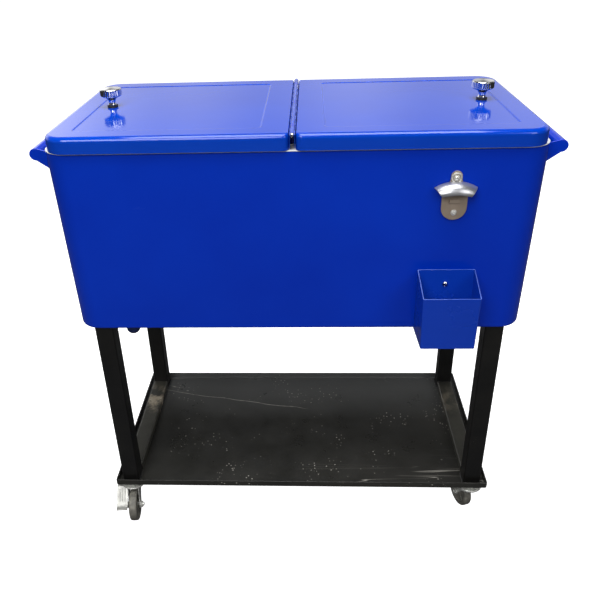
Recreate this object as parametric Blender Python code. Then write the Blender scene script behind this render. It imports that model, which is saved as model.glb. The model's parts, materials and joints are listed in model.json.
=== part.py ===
"""Patio cooler cart: an insulated tub with two lids on a wheeled frame. Metres, +Z up, floor at Z 0."""

import math

import bmesh
import bpy
from mathutils import Matrix, Vector

# ---------------------------------------------------------------- driving dimensions
GAP = 0.0003                # air between two touching pieces
FRAME_SHIFT_Y = 0.01835      # puts the middle of the whole cart's depth on the origin

LEG = 0.0314                # square tube of the legs
LEG_WALL = 0.0015
LEG_OUT_X = 0.3464          # outer faces of the legs
LEG_OUT_Y = 0.1683
LOW_RAIL_H = 0.016

TRAY_W = 0.7167
TRAY_D = 0.3551
TRAY_Z = 0.083
TRAY_LIP = 0.013
TRAY_SHEET = 0.0015

TUB_Z0 = 0.447
TUB_Z1 = 0.750
TUB_W0 = 0.7425             # at the bottom
TUB_D0 = 0.3605
TUB_W1 = 0.750              # at the rim
TUB_D1 = 0.368
TUB_R = 0.039
TUB_SHEET = 0.001
FOAM = 0.029                # insulation of the walls
FOAM_FLOOR = 0.030
LINER_SHEET = 0.0012
TRIM_H = 0.002

LID_W = 0.7378              # over both lids
LID_D = 0.3777
LID_Z0 = 0.7526
LID_Z1 = 0.777
LID_R = 0.035
LID_ROUND = 0.0075
LID_SHEET = 0.001
LID_GAP = 0.0045            # from the hinge plane to each lid
EMBOSS_X = (0.048, 0.330)
EMBOSS_Y = 0.150
EMBOSS_H = 0.0008           # how far each lid's middle panel is pressed in
PLUG_X = (0.018, 0.335)      # the lid's underside panel, which drops into the tub
PLUG_Y = 0.148
PLUG_DEPTH = 0.014

HINGE_Z = 0.776
ROD_R = 0.0020
BORE_R = 0.0024
BARREL_R = 0.0030
HINGE_LEN = 0.187
POST_LEN = 0.014
POST_Y = (-0.1440, 0.0, 0.1440)
BEAM_W = 0.024
BEAM_H = 0.012

KNOB_X = 0.307
KNOB_R = 0.0178
KNOB_H = 0.0285
WASHER_H = 0.0034
KNOB_SIDES = 30
KNOB_RIM_ROWS = (6, 7)      # rows of the knob's profile that are fluted
KNOB_FLUTE = 0.955

HANDLE_X = 0.4015
HANDLE_Z = 0.736
HANDLE_R = 0.0092
HANDLE_WALL = 0.0015
HANDLE_Y = 0.130
HANDLE_PLATE = 0.003

OPENER_X = 0.2385
OPENER_Z = 0.708            # the opener's top screw, which its other heights are measured from
OPENER_THICK = 0.0025
OPENER_EYE = (0.008, 0.0105)    # half the width of the eye, and its height
OPENER_HALF_W = 0.019
OPENER_FOOT_Z = -0.0495
OPENER_FOOT_H = 0.0165
OPENER_LOW_SCREW = -0.054
OPENER_SCREW_R = 0.0046
HOOD_HALF_W = 0.031
HOOD_REACH = 0.0165
HOOD_SHEET = 0.0022
HOOD_ROOT = -0.0145         # where its ends meet the plate
HOOD_RISE = 0.0095          # its middle above its ends
HOOD_LIP = -0.024
HOOD_LIP_NARROW = 0.68

BOX_X = 0.2378
BOX_Z = (0.4475, 0.5565)
BOX_DEPTH = 0.062
BOX_HALF = 0.0447           # half the width of its back
SCREW_H = 0.0026

DRAIN = (-0.288, -0.136)

SWIVEL_X = LEG_OUT_X - LEG / 2
SWIVEL_Y = LEG_OUT_Y - LEG / 2
WHEEL_R = 0.031
TRAIL = 0.025
MOUNT_PLATE = 0.042
PEDAL_PIVOT = (0.008, 0.066)   # ahead of the swivel, and height
PEDAL_Y = (-0.0330, -0.0119)
CROWN_Z = (0.0697, 0.0732)
FORK_Y = (0.0095, 0.0113)   # inner and outer face of each cheek, from the wheel's middle
# name, x sign, y sign, heading in degrees from -Y towards +X, has a brake
CASTERS = (
    ("front_left", -1, -1, 5.0, True),
    ("front_right", 1, -1, -162.0, True),
    ("rear_left", -1, 1, 158.0, False),
    ("rear_right", 1, 1, -165.0, False),
)

# ---------------------------------------------------------------- materials
MATERIALS = {
    "blue_paint": ((0.010, 0.045, 0.36), 0.22, 0.0),
    "black_paint": ((0.012, 0.012, 0.012), 0.38, 0.0),
    "tray_paint": ((0.030, 0.030, 0.028), 0.34, 0.0),
    "foam": ((0.86, 0.80, 0.62), 0.90, 0.0),
    "liner": ((0.80, 0.81, 0.80), 0.40, 0.0),
    "trim": ((0.74, 0.73, 0.70), 0.32, 0.6),
    "zinc": ((0.72, 0.72, 0.69), 0.30, 1.0),
    "chrome": ((0.82, 0.82, 0.83), 0.10, 1.0),
    "nickel": ((0.70, 0.69, 0.66), 0.28, 1.0),
    "tyre": ((0.13, 0.125, 0.11), 0.62, 0.0),
    "dark_rubber": ((0.02, 0.02, 0.022), 0.60, 0.0),
    "drain_plastic": ((0.010, 0.022, 0.11), 0.45, 0.0),
}


def clear_scene():
    for obj in list(bpy.data.objects):
        bpy.data.objects.remove(obj, do_unlink=True)


def material(name):
    if name in bpy.data.materials:
        return bpy.data.materials[name]
    colour, rough, metal = MATERIALS[name]
    mat = bpy.data.materials.new(name)
    mat.use_nodes = True
    shader = mat.node_tree.nodes["Principled BSDF"]
    shader.inputs["Base Color"].default_value = (*colour, 1.0)
    shader.inputs["Roughness"].default_value = rough
    shader.inputs["Metallic"].default_value = metal
    return mat


def empty(name, location=(0, 0, 0), turn_z=0.0, parent=None):
    obj = bpy.data.objects.new(name, None)
    bpy.context.scene.collection.objects.link(obj)
    obj.parent = parent
    obj.location = location
    obj.rotation_euler = (0.0, 0.0, turn_z)
    return obj


# ---------------------------------------------------------------- mesh helpers
def rounded_rect(w, d, r, n=5, cx=0.0, cy=0.0, radii=None):
    """Counter-clockwise outline; radii gives one radius per corner, from +X+Y round to +X-Y."""
    radii = radii or (r, r, r, r)
    corners = ((1, 1, 0.0), (-1, 1, 90.0), (-1, -1, 180.0), (1, -1, 270.0))
    points = []
    for (sx, sy, start), rad in zip(corners, radii):
        for i in range(n + 1):
            a = math.radians(start + 90.0 * i / n)
            x = cx + sx * (w / 2 - rad) + rad * math.cos(a)
            y = cy + sy * (d / 2 - rad) + rad * math.sin(a)
            points.append((x, y))
    return points


def at_height(outline, z):
    return [(x, y, z) for x, y in outline]


def ring(r, z, n=24, hexagon=False):
    loop = []
    for i in range(n):
        rad = r
        if hexagon and i % 2:
            rad = r * math.cos(math.pi / 6)
        a = 2 * math.pi * i / n
        loop.append((rad * math.cos(a), rad * math.sin(a), z))
    return loop


def mesh_object(name, bm, mat, location=(0, 0, 0), parent=None, rotation=(0, 0, 0), smooth=35.0):
    bmesh.ops.recalc_face_normals(bm, faces=bm.faces[:])
    mesh = bpy.data.meshes.new(name)
    bm.to_mesh(mesh)
    bm.free()
    for poly in mesh.polygons:
        poly.use_smooth = True
    mesh.set_sharp_from_angle(angle=math.radians(smooth))
    mesh.materials.append(material(mat))
    obj = bpy.data.objects.new(name, mesh)
    bpy.context.scene.collection.objects.link(obj)
    obj.parent = parent
    obj.location = location
    obj.rotation_euler = rotation
    return obj


def skin(loops, cyclic=False, bm=None, turn=None):
    """A closed surface through loops of equal length, capped at both ends unless cyclic."""
    bm = bm or bmesh.new()
    rows = []
    for loop in loops:
        row = []
        for p in loop:
            v = Vector(p)
            row.append(bm.verts.new(turn @ v if turn else v))
        rows.append(row)
    count = len(rows[0])
    pairs = list(zip(rows, rows[1:]))
    if cyclic:
        pairs.append((rows[-1], rows[0]))
    for low, high in pairs:
        for i in range(count):
            j = (i + 1) % count
            bm.faces.new((low[i], low[j], high[j], high[i]))
    if not cyclic:
        bm.faces.new(rows[0][::-1])
        bm.faces.new(rows[-1])
    return bm


def lathe(profile, n=24, cyclic=False, bm=None, turn=None, hex_rows=()):
    """Revolve (radius, z) pairs about Z; rows listed in hex_rows come out hexagonal."""
    loops = [ring(r, z, n, i in hex_rows) for i, (r, z) in enumerate(profile)]
    return skin(loops, cyclic, bm, turn)


def block(sx, sy, sz, cx=0.0, cy=0.0, cz=0.0, bm=None, turn=None):
    outline = ((1, 1), (-1, 1), (-1, -1), (1, -1))
    flat = [(cx + u * sx / 2, cy + v * sy / 2) for u, v in outline]
    return skin([at_height(flat, cz - sz / 2), at_height(flat, cz + sz / 2)], bm=bm, turn=turn)


def prism(points, y0, y1, bm=None, turn=None):
    """Extrude an (x, z) outline along Y from y0 to y1."""
    return skin([[(x, y0, z) for x, z in points], [(x, y1, z) for x, z in points]], bm=bm, turn=turn)


def square_tube(w, h, wall, y0, y1):
    """A rectangular tube along Y, open at both ends."""
    def section(inset, y):
        a, b = w / 2 - inset, h / 2 - inset
        return [(a, y, b), (-a, y, b), (-a, y, -b), (a, y, -b)]

    return skin([section(0, y0), section(0, y1), section(wall, y1), section(wall, y0)], cyclic=True)


def modify(obj, other, operation):
    """Boolean with another object, which stays hidden as a cutter."""
    other.hide_render = True
    other.display_type = "WIRE"
    mod = obj.modifiers.new(operation.lower() + "_" + other.name, "BOOLEAN")
    mod.operation = operation
    mod.solver = "EXACT"
    mod.object = other
    return mod


def round_x(turn_deg):
    return Matrix.Rotation(math.radians(turn_deg), 4, "X")


TO_Y = round_x(-90.0)       # lathe axis Z becomes +Y


# ---------------------------------------------------------------- frame and tray
def build_frame(root):
    low = TRAY_Z + TRAY_SHEET + GAP
    high = TUB_Z0 - GAP
    outer = rounded_rect(LEG, LEG, 0.003, 2)
    inner = rounded_rect(LEG - 2 * LEG_WALL, LEG - 2 * LEG_WALL, 0.0015, 2)
    for name, sx, sy, _, _ in CASTERS:
        loops = [at_height(outer, low), at_height(outer, high)]
        loops += [at_height(inner, high), at_height(inner, low)]
        mesh_object("leg_" + name, skin(loops, cyclic=True), "black_paint",
                    (sx * SWIVEL_X, sy * SWIVEL_Y, 0), root)
    span = 2 * (LEG_OUT_Y - LEG - GAP)
    for side, sx in (("left", -1), ("right", 1)):
        mid = low + LOW_RAIL_H / 2
        tube = square_tube(LEG, LOW_RAIL_H, LEG_WALL, -span / 2, span / 2)
        mesh_object("low_rail_" + side, tube, "black_paint", (sx * SWIVEL_X, 0, mid), root)
    rim = rounded_rect(TRAY_W, TRAY_D, 0.004, 3)
    foot = rounded_rect(TRAY_W - 0.003, TRAY_D - 0.003, 0.003, 3)
    well = rounded_rect(TRAY_W - 2 * TRAY_SHEET, TRAY_D - 2 * TRAY_SHEET, 0.0025, 3)
    top = TRAY_Z + TRAY_LIP
    mesh_object("tray", skin([
        at_height(foot, TRAY_Z),
        at_height(rim, TRAY_Z + 0.0015),
        at_height(rim, top),
        at_height(well, top),
        at_height(well, TRAY_Z + TRAY_SHEET),
    ]), "tray_paint", (0, 0, 0), root)


# ---------------------------------------------------------------- tub
def tub_outline(z, inset, radius):
    """Outline of the tapered tub at height z, moved inwards by inset."""
    k = (z - TUB_Z0) / (TUB_Z1 - TUB_Z0)
    w = TUB_W0 + k * (TUB_W1 - TUB_W0) - 2 * inset
    d = TUB_D0 + k * (TUB_D1 - TUB_D0) - 2 * inset
    return at_height(rounded_rect(w, d, max(radius - inset, 0.004), 6), z)


def foam_block(name, z0, z1, out, root, chamfer=0.0):
    """A slab of insulation that fills the shell between two heights."""
    loops = [tub_outline(z0, out + chamfer, TUB_R), tub_outline(z0 + chamfer, out, TUB_R),
             tub_outline(z1, out, TUB_R)]
    if not chamfer:
        loops = loops[1:]
    return mesh_object("foam_" + name, skin(loops), "foam", (0, 0, 0), root)


def build_foam(root, z0, z_floor, out, inn):
    """Floor and four wall panels; front and back run the full width. Returns the floor panel."""
    floor = foam_block("floor", z0, z_floor, out, root, chamfer=0.004)
    low = z_floor + GAP
    top = TUB_Z1

    def half(width0, width1, z, inset):
        k = (z - TUB_Z0) / (TUB_Z1 - TUB_Z0)
        return (width0 + k * (width1 - width0)) / 2 - inset

    far = 1.0
    margin = 0.01

    def long_cutter(sign, inset):
        """Everything beyond the tapered plane that lies inset from the front or back wall."""
        rows = []
        for z in (low - margin, top + margin):
            y = sign * half(TUB_D0, TUB_D1, z, inset)
            y_far = sign * far
            rows.append([(-far, y, z), (far, y, z), (far, y_far, z), (-far, y_far, z)])
        return skin(rows)

    for name, sign in (("front", -1), ("back", 1)):
        part = foam_block(name, low, top, out, root)
        cutter = mesh_object("cutter_" + name, long_cutter(sign, inn), "foam", (0, 0, 0), root)
        modify(part, cutter, "INTERSECT")
    for name, sign in (("left", -1), ("right", 1)):
        part = foam_block(name, low, top, out, root)
        rows = []
        for z in (low - margin, top + margin):
            x = sign * half(TUB_W0, TUB_W1, z, inn)
            y = half(TUB_D0, TUB_D1, z, inn + GAP)
            rows.append([(x, -y, z), (sign * far, -y, z), (sign * far, y, z), (x, y, z)])
        cutter = mesh_object("cutter_" + name, skin(rows), "foam", (0, 0, 0), root)
        modify(part, cutter, "INTERSECT")
    return floor


def build_tub(root):
    s = TUB_SHEET
    floor_in = TUB_Z0 + s
    rim_low = tub_outline(TUB_Z0, 0.003, TUB_R)
    shell = mesh_object("tub_shell", skin([
        rim_low,
        tub_outline(TUB_Z0 + 0.003, 0.0, TUB_R),
        tub_outline(TUB_Z1, 0.0, TUB_R),
        tub_outline(TUB_Z1, s, TUB_R),
        tub_outline(TUB_Z0 + 0.0035, s, TUB_R),
        tub_outline(floor_in, 0.0035, TUB_R),
    ]), "blue_paint", (0, 0, 0), root)
    out = s + GAP
    inn = out + FOAM
    foam_floor = floor_in + GAP + FOAM_FLOOR
    floor_panel = build_foam(root, floor_in + GAP, foam_floor, out, inn)
    lin = inn + GAP
    liner_floor = foam_floor + GAP + LINER_SHEET
    liner_r = TUB_R + 0.02
    liner = mesh_object("tub_liner", skin([
        tub_outline(foam_floor + GAP, lin, liner_r),
        tub_outline(TUB_Z1, lin, liner_r),
        tub_outline(TUB_Z1, lin + LINER_SHEET, liner_r),
        tub_outline(liner_floor, lin + LINER_SHEET, liner_r),
    ]), "liner", (0, 0, 0), root)
    z0 = TUB_Z1 + GAP
    z1 = z0 + TRIM_H
    ring_out = rounded_rect(TUB_W1 + 0.0012, TUB_D1 + 0.0012, TUB_R + 0.0006, 6)
    ring_in = rounded_rect(TUB_W1 - 2 * lin - 0.001, TUB_D1 - 2 * lin - 0.001, 0.027, 6)
    mesh_object("rim_trim", skin([
        at_height(ring_out, z0), at_height(ring_out, z1), at_height(ring_in, z1), at_height(ring_in, z0),
    ], cyclic=True), "trim", (0, 0, 0), root)

    # drain through the floor, with its hole in all three layers
    bore = [(0.0088, TUB_Z0 - 0.01), (0.0088, liner_floor + 0.01)]
    hole = mesh_object("drain_hole", lathe(bore, 20), "liner", (*DRAIN, 0), root)
    for piece in (shell, floor_panel, liner):
        modify(piece, hole, "DIFFERENCE")
    flange = liner_floor + GAP
    mesh_object("drain_spout", lathe([
        (0.0060, 0.4280), (0.0085, 0.4280), (0.0085, flange), (0.0106, flange),
        (0.0102, flange + 0.0018), (0.0060, flange + 0.0018),
    ], 20, cyclic=True), "drain_plastic", (*DRAIN, 0), root)
    mesh_object("drain_cap", lathe([
        (0.0035, 0.4130), (0.0085, 0.4155), (0.0118, 0.4200), (0.0118, 0.4370), (0.0112, 0.4380),
        (0.0089, 0.4380), (0.0089, 0.4276), (0.0050, 0.4250),
    ], 20), "drain_plastic", (*DRAIN, 0), root)


# ---------------------------------------------------------------- lids
def lid_outline(side, x0, x1, d, r_out, r_in, z):
    """One lid's outline: side -1 is left; r_in are the corners at the hinge."""
    w = x1 - x0
    cx = side * (x0 + x1) / 2
    radii = (r_out, r_in, r_in, r_out) if side > 0 else (r_in, r_out, r_out, r_in)
    return at_height(rounded_rect(w, d, r_out, 6, cx, 0.0, radii), z)


def build_lid(side, name, parent):
    x1 = LID_W / 2
    x0 = LID_GAP
    rnd = LID_ROUND
    s = LID_SHEET

    def skin_loop(inset, z, extra=0.0):
        return lid_outline(side, x0 + inset, x1 - inset, LID_D - 2 * inset,
                           LID_R - inset, 0.0105 - inset, z + extra)

    loops = [skin_loop(0.0, LID_Z0)]
    for i in range(4):
        a = math.radians(90.0 * i / 3)
        loops.append(skin_loop(rnd * (1 - math.cos(a)), LID_Z1 - rnd + rnd * math.sin(a)))
    e0, e1 = EMBOSS_X
    panel = LID_Z1 - EMBOSS_H
    for grow, z in ((0.0012, LID_Z1), (0.0, panel)):
        loops.append(lid_outline(side, e0 - grow, e1 + grow, 2 * (EMBOSS_Y + grow), 0.006, 0.006, z))
    inner = []
    for i in (3, 2, 1, 0):
        a = math.radians(90.0 * i / 3)
        inset = s + (rnd - s) * (1 - math.cos(a))
        inner.append(skin_loop(inset, panel - rnd + (rnd - s) * math.sin(a)))
    inner.append(skin_loop(s, LID_Z0))
    # the surface runs from the inner ceiling down, round the skirt's edge and up over the top
    mesh_object("lid_shell_" + name, skin(inner + loops), "blue_paint", parent=parent)

    p0, p1 = PLUG_X
    t = LINER_SHEET
    pan_top = LID_Z0 + 0.0008
    edge = s + GAP

    def plug(inset, z):
        depth = 2 * (PLUG_Y - inset)
        return lid_outline(side, p0 + inset, p1 - inset, depth, 0.022 - inset, 0.006 - inset, z)

    low = LID_Z0 - PLUG_DEPTH
    mesh_object("lid_pan_" + name, skin([
        plug(0.003, low), plug(0.0, low + 0.003), plug(0.0, LID_Z0), skin_loop(edge, LID_Z0),
        skin_loop(edge, pan_top), plug(t, pan_top), plug(t, low + t + 0.003), plug(t + 0.003, low + t),
    ]), "liner", parent=parent)
    f = t + GAP
    mesh_object("lid_foam_" + name, skin([
        plug(f + 0.003, low + f), plug(f, low + f + 0.003), plug(f, pan_top + GAP),
        skin_loop(edge, pan_top + GAP), skin_loop(edge, panel - rnd - 0.0005),
        skin_loop(edge + 0.0022, panel - s - GAP - 0.002), skin_loop(edge + 0.006, panel - s - GAP),
    ]), "foam", parent=parent)

    top = panel + GAP
    washer = [(0.0088, 0.0), (0.0088, WASHER_H - 0.0004), (0.0080, WASHER_H), (0.0030, WASHER_H)]
    mesh_object("knob_washer_" + name, lathe(washer, 24), "dark_rubber", (side * KNOB_X, 0, top), parent)
    knob = [(0.0068, 0.0), (0.0064, 0.0015), (0.0058, 0.0055), (0.0072, 0.0105), (0.0120, 0.0150),
            (0.0168, 0.0178), (KNOB_R, 0.0190), (KNOB_R, 0.0255), (0.0168, 0.0272), (0.0120, 0.0282),
            (0.0050, KNOB_H)]
    base = top + WASHER_H + GAP
    obj = mesh_object("knob_" + name, lathe(knob, KNOB_SIDES), "chrome", (side * KNOB_X, 0, base), parent)
    for row in KNOB_RIM_ROWS:
        for k in range(0, KNOB_SIDES, 2):
            v = obj.data.vertices[row * KNOB_SIDES + k]
            v.co.x *= KNOB_FLUTE
            v.co.y *= KNOB_FLUTE


def build_hinge(root, lids):
    ends = TUB_D1 / 2 - 0.0325
    beam = mesh_object("centre_beam", block(BEAM_W, 2 * ends, BEAM_H), "blue_paint",
                       (0, 0, TUB_Z1 - BEAM_H / 2), root)
    bm = bmesh.new()
    arc = []
    for a in range(0, 181, 30):
        t = math.radians(a)
        arc.append((BARREL_R * math.cos(t), BARREL_R * math.sin(t)))
    half = 0.0025
    foot = TUB_Z1 - HINGE_Z - 0.0025
    outline = [(half, foot), (half, -0.0018)] + arc + [(-half, -0.0018), (-half, foot)]
    for y in POST_Y:
        prism(outline, y - POST_LEN / 2, y + POST_LEN / 2, bm)
    posts = mesh_object("hinge_posts", bm, "blue_paint", (0, 0, HINGE_Z), root)
    modify(beam, posts, "UNION")
    reach = POST_Y[-1] + POST_LEN
    bore = mesh_object("rod_bore", lathe([(BORE_R, -reach), (BORE_R, reach)], 16, turn=TO_Y), "blue_paint",
                       (0, 0, HINGE_Z), root)
    modify(beam, bore, "DIFFERENCE")
    end = LID_D / 2 + 0.0005
    mesh_object("hinge_rod", lathe([
        (0.0012, -end - 0.0025), (0.0024, -end - 0.0016), (0.0029, -end), (ROD_R, -end + 0.0010),
        (ROD_R, end - 0.0010), (0.0029, end), (0.0024, end + 0.0016), (0.0012, end + 0.0025),
    ], 16, turn=TO_Y), "chrome", (0, 0, HINGE_Z), root)

    # knuckles alternate between the lids in the spaces that the posts leave
    spans = []
    marks = [-HINGE_LEN]
    for y in POST_Y:
        marks += [y - POST_LEN / 2 - 2 * GAP, y + POST_LEN / 2 + 2 * GAP]
    marks.append(HINGE_LEN)
    for lo, hi in zip(marks[::2], marks[1::2]):
        count = 2 if hi - lo < 0.06 else 6
        step = (hi - lo) / count
        for i in range(count):
            spans.append((lo + i * step + GAP, lo + (i + 1) * step - GAP))
    for k, (side, name) in enumerate(((-1, "left"), (1, "right"))):
        strip = mesh_object("hinge_leaf_" + name, block(0.0008, 2 * HINGE_LEN, 0.019),
                            "blue_paint", (side * 0.0038, 0, HINGE_Z - 0.0105), lids[name])
        bm = bmesh.new()
        tabs = bmesh.new()
        for lo, hi in spans[k::2]:
            tube = [(BARREL_R, lo), (BARREL_R, hi), (BORE_R, hi), (BORE_R, lo)]
            lathe(tube, 12, cyclic=True, bm=bm, turn=TO_Y)
            block(0.0014, hi - lo - 0.0002, 0.0022, side * 0.0033, (lo + hi) / 2, -0.0005, bm=tabs)
        tab_obj = mesh_object("hinge_tabs_" + name, tabs, "blue_paint", (0, 0, HINGE_Z), lids[name])
        tubes = mesh_object("hinge_knuckles_" + name, bm, "blue_paint", (0, 0, HINGE_Z), lids[name])
        modify(strip, tab_obj, "UNION")
        modify(strip, tubes, "UNION")


# ---------------------------------------------------------------- handles and front fittings
def tub_wall_y(z):
    k = (z - TUB_Z0) / (TUB_Z1 - TUB_Z0)
    return -(TUB_D0 + k * (TUB_D1 - TUB_D0)) / 2


def build_handles(root):
    for side, name in ((-1, "left"), (1, "right")):
        length = 2 * HANDLE_Y - HANDLE_PLATE - 2 * GAP
        mesh_object("handle_tube_" + name, lathe([
            (HANDLE_R, -length / 2), (HANDLE_R, length / 2),
            (HANDLE_R - HANDLE_WALL, length / 2), (HANDLE_R - HANDLE_WALL, -length / 2),
        ], 24, cyclic=True, turn=TO_Y), "blue_paint", (side * HANDLE_X, 0, HANDLE_Z), root)
        outline = [(0.3754, 0.7108), (0.3754, 0.7398)]
        for a in range(100, -91, -19):
            t = math.radians(a)
            outline.append((HANDLE_X + 0.0094 * math.cos(t), HANDLE_Z + 0.0094 * math.sin(t)))
        outline.append((0.3790, 0.7118))
        outline = [(side * x, z) for x, z in outline]
        for end, y in (("front", -HANDLE_Y), ("rear", HANDLE_Y)):
            plate = prism(outline, y - HANDLE_PLATE / 2, y + HANDLE_PLATE / 2)
            mesh_object("handle_plate_%s_%s" % (name, end), plate, "blue_paint", parent=root)


def screw_head(name, x, y, z, r, h, root):
    """Domed button head with a shallow round socket, facing the front."""
    profile = [(r * 0.8, 0.0), (r, h * 0.25), (r * 0.93, h * 0.6), (r * 0.62, h * 0.92), (r * 0.34, h),
               (r * 0.30, h * 0.55), (r * 0.12, h * 0.50)]
    mesh_object(name, lathe(profile, 20, turn=round_x(90.0)), "chrome", (x, y, z), root)


def build_opener(root):
    """Bottle opener: a plate with an eye at its top, a hood and a catch. Heights are from OPENER_Z."""
    back = tub_wall_y(0.72) - 0.0006
    front = back - OPENER_THICK
    spot = (OPENER_X, 0, OPENER_Z)
    edge = []
    for degrees in range(0, 91, 15):            # half of the eye, from its side up to its top
        t = math.radians(degrees)
        edge.append((-OPENER_EYE[0] * math.cos(t), OPENER_EYE[1] * math.sin(t)))
    edge.reverse()
    edge += [(-0.0085, -0.0060), (-0.0140, -0.0085), (-0.0260, -0.0110), (-HOOD_HALF_W - 0.001, -0.0155)]
    edge += [(-0.0300, -0.0200), (-0.0200, -0.0225), (-OPENER_HALF_W, -0.0300)]
    for degrees in range(0, 91, 15):            # half of the round foot
        t = math.radians(degrees)
        edge.append((-OPENER_HALF_W * math.cos(t), OPENER_FOOT_Z - OPENER_FOOT_H * math.sin(t)))
    mirrored = [(-x, z) for x, z in reversed(edge[1:-1])]
    plate = mesh_object("opener", prism(edge + mirrored, front, back), "nickel", spot, root)

    loops = []
    steps = 12
    for i in range(steps + 1):
        t = math.pi * (0.03 + 0.94 * i / steps)
        x = -HOOD_HALF_W * math.cos(t)
        out = HOOD_REACH * math.sin(t) ** 0.8
        rise = HOOD_RISE * math.sin(t)
        root_y = front + 0.0012                 # inside the plate, which the hood is joined to
        loops.append([
            (x, root_y, HOOD_ROOT + rise),
            (x, front - out * 0.75, HOOD_ROOT + rise * 0.85),
            (x, front - out - HOOD_SHEET, HOOD_ROOT - 0.0015),
            (x * HOOD_LIP_NARROW, front - out, HOOD_LIP),
            (x * 0.85, front - out * 0.55, HOOD_ROOT - 0.0020 + rise * 0.35),
            (x, root_y, HOOD_ROOT - 0.0030 + rise * 0.4),
        ])
    hood = mesh_object("opener_hood", skin(loops), "nickel", spot, root)
    catch = [(-0.0085, -0.0395), (0.0085, -0.0395), (0.0065, -0.0325), (-0.0065, -0.0325)]
    tooth = mesh_object("opener_tooth", prism(catch, front - 0.0035, front + 0.0010), "nickel", spot, root)
    modify(plate, hood, "UNION")
    modify(plate, tooth, "UNION")
    screw_head("opener_screw_top", OPENER_X, front - GAP, OPENER_Z, OPENER_SCREW_R, SCREW_H, root)
    low = OPENER_Z + OPENER_LOW_SCREW
    screw_head("opener_screw_low", OPENER_X, front - GAP, low, OPENER_SCREW_R, SCREW_H, root)


def build_box(root):
    z0, z1 = BOX_Z
    back = tub_wall_y(z1) - 0.0006
    sheet = 0.0012
    top_front = 0.0190

    def loop(inset, z, slope):
        y_back = back - inset
        y_front = back - BOX_DEPTH + inset
        out = []
        lift = (z - z0) / (z1 - z0)
        for x, y in rounded_rect(2.0, 2.0, 0.06, 3):
            narrower = 0.0027 - 0.0015 * lift if y < 0 else 0.0
            wide = BOX_HALF - narrower - inset
            yy = y_front + (y + 1) / 2 * (y_back - y_front)
            zz = z - slope * (y_back - yy) / (y_back - y_front)
            out.append((x * wide, yy, zz))
        return out

    mesh_object("cap_box", skin([
        loop(0.0008, z0, 0),
        loop(0.0, z0 + 0.0008, 0),
        loop(0.0, z1, top_front),
        loop(sheet, z1, top_front),
        loop(sheet, z0 + sheet, 0),
    ]), "blue_paint", (BOX_X, 0, 0), root)
    screw_head("cap_box_screw", BOX_X, back - sheet - GAP, 0.531, 0.0045, SCREW_H, root)


# ---------------------------------------------------------------- casters
def build_caster(name, sx, sy, heading, brake, root):
    turn = math.radians(heading - 90.0)
    at = (sx * SWIVEL_X, sy * SWIVEL_Y, 0)
    under = TRAY_Z - GAP
    plate = rounded_rect(MOUNT_PLATE, MOUNT_PLATE, 0.005, 3)
    slab = skin([at_height(plate, under - 0.002), at_height(plate, under)])
    mount = mesh_object("caster_mount_" + name, slab, "zinc", at, root)
    race = [(0.0100, under - 0.0005), (0.0140, under - 0.0010), (0.0150, 0.0790), (0.0138, 0.0770),
            (0.0148, 0.0755), (0.0125, 0.0735), (0.0040, 0.0735), (0.0040, 0.0693), (0.0078, 0.0693),
            (0.0078, 0.0678), (0.0050, 0.0662)]
    dome = mesh_object("race_dome_" + name, lathe(race, 16), "zinc", at, root)
    modify(mount, dome, "UNION")

    swivel = empty("swivel_" + name, at, turn, root)
    z0, z1 = CROWN_Z
    crown = [(0.0044, z0), (0.0235, z0), (0.0240, z1 - 0.0006), (0.0225, z1), (0.0044, z1)]
    fork = mesh_object("caster_fork_" + name, lathe(crown, 20, cyclic=True), "zinc", parent=swivel)
    cheek = [(-0.0185, 0.0712), (0.0195, 0.0712), (0.0325, 0.0330)]
    for a in range(10, 171, 32):
        t = math.radians(-a)
        cheek.append((TRAIL + 0.0080 * math.cos(t), WHEEL_R + 0.0080 * math.sin(t)))
    bm = bmesh.new()
    prism(cheek, FORK_Y[0], FORK_Y[1], bm)
    prism(cheek, -FORK_Y[1], -FORK_Y[0], bm)
    cheeks = mesh_object("fork_cheeks_" + name, bm, "zinc", parent=swivel)
    modify(fork, cheeks, "UNION")
    bore = mesh_object("fork_bore_" + name, lathe([(0.0042, -0.02), (0.0042, 0.02)], 16, turn=TO_Y), "zinc",
                       (TRAIL, 0, WHEEL_R), swivel)
    modify(fork, bore, "DIFFERENCE")

    half = [(0.0043, -0.0086), (0.0085, -0.0086), (0.0095, -0.0052), (0.0205, -0.0048), (0.0222, -0.0072),
            (0.0280, -0.0075), (0.0303, -0.0058), (WHEEL_R, -0.0025)]
    profile = half + [(r, -y) for r, y in reversed(half)]
    wheel = empty("axle_line_" + name, (TRAIL, 0, WHEEL_R), 0.0, swivel)
    mesh_object("caster_wheel_" + name, lathe(profile, 24, cyclic=True, turn=TO_Y), "tyre", parent=wheel)
    bolt = [(0.0060, -0.0158), (0.0066, -0.0150), (0.0066, -0.0117), (0.0037, -0.0117), (0.0037, 0.0117),
            (0.0064, 0.0117), (0.0064, 0.0155), (0.0036, 0.0155), (0.0034, 0.0180)]
    mesh_object("caster_axle_" + name, lathe(bolt, 12, turn=TO_Y, hex_rows=(0, 1, 2, 5, 6)), "zinc",
                (TRAIL, 0, WHEEL_R), swivel)
    if brake:
        pivot = empty("pedal_pivot_" + name, (PEDAL_PIVOT[0], 0, PEDAL_PIVOT[1]), 0.0, swivel)
        pedal = [(-0.0030, 0.0000), (-0.0018, 0.0020), (0.0010, 0.0022), (0.0290, -0.0255),
                 (0.0385, -0.0262), (0.0385, -0.0278), (0.0284, -0.0274), (0.0000, -0.0005),
                 (-0.0015, -0.0020)]
        mesh_object("brake_pedal_" + name, prism(pedal, *PEDAL_Y), "zinc", parent=pivot)


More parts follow.
